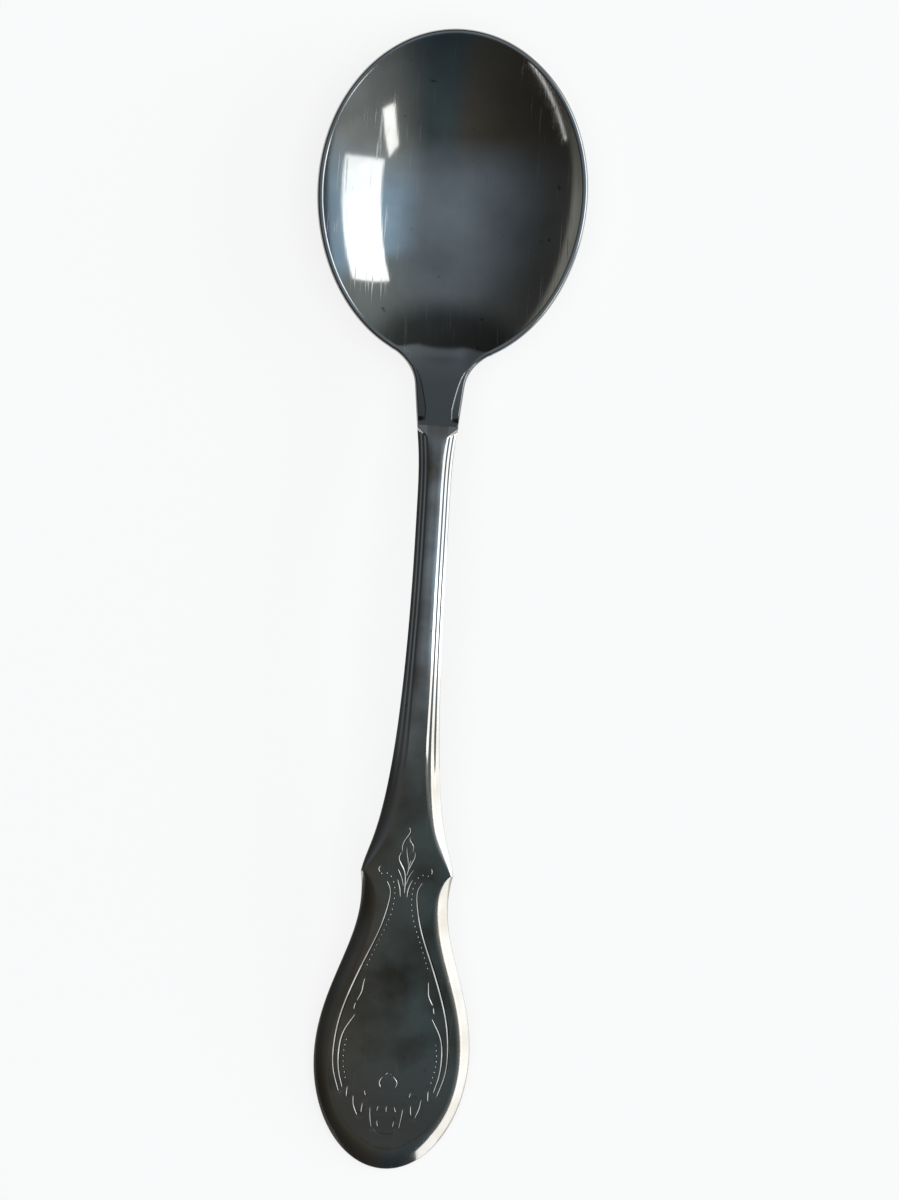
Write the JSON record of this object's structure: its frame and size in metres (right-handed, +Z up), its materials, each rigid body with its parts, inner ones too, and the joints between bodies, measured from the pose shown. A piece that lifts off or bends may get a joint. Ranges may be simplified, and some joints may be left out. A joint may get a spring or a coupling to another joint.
{
  "type": "soup spoon",
  "caption": "Round-bowled metal soup spoon with a threaded arched stem, a pear-shaped handle end with a raised panel and border, and a lapped and soldered neck.",
  "frame": {"origin": "on the table plane, under the middle of the spoon's length and width", "axes": "+Y along the spoon from the end of the handle to the tip of the bowl, +Z up out of the open bowl, +X across"},
  "size_m": [0.0426, 0.18, 0.0178],
  "materials": {
    "polished_silver": "silver plate, mirror polished, with fine scratches and light tarnish",
    "struck_silver": "silver plate, struck in a die and worn to a soft polish",
    "silver_solder": "silver solder, cleaned flush and a little duller than the plate"
  },
  "bodies": {
    "root": {"bowl": "polished_silver", "handle": "struck_silver", "neck_solder": "silver_solder"}
  },
  "joints": []
}
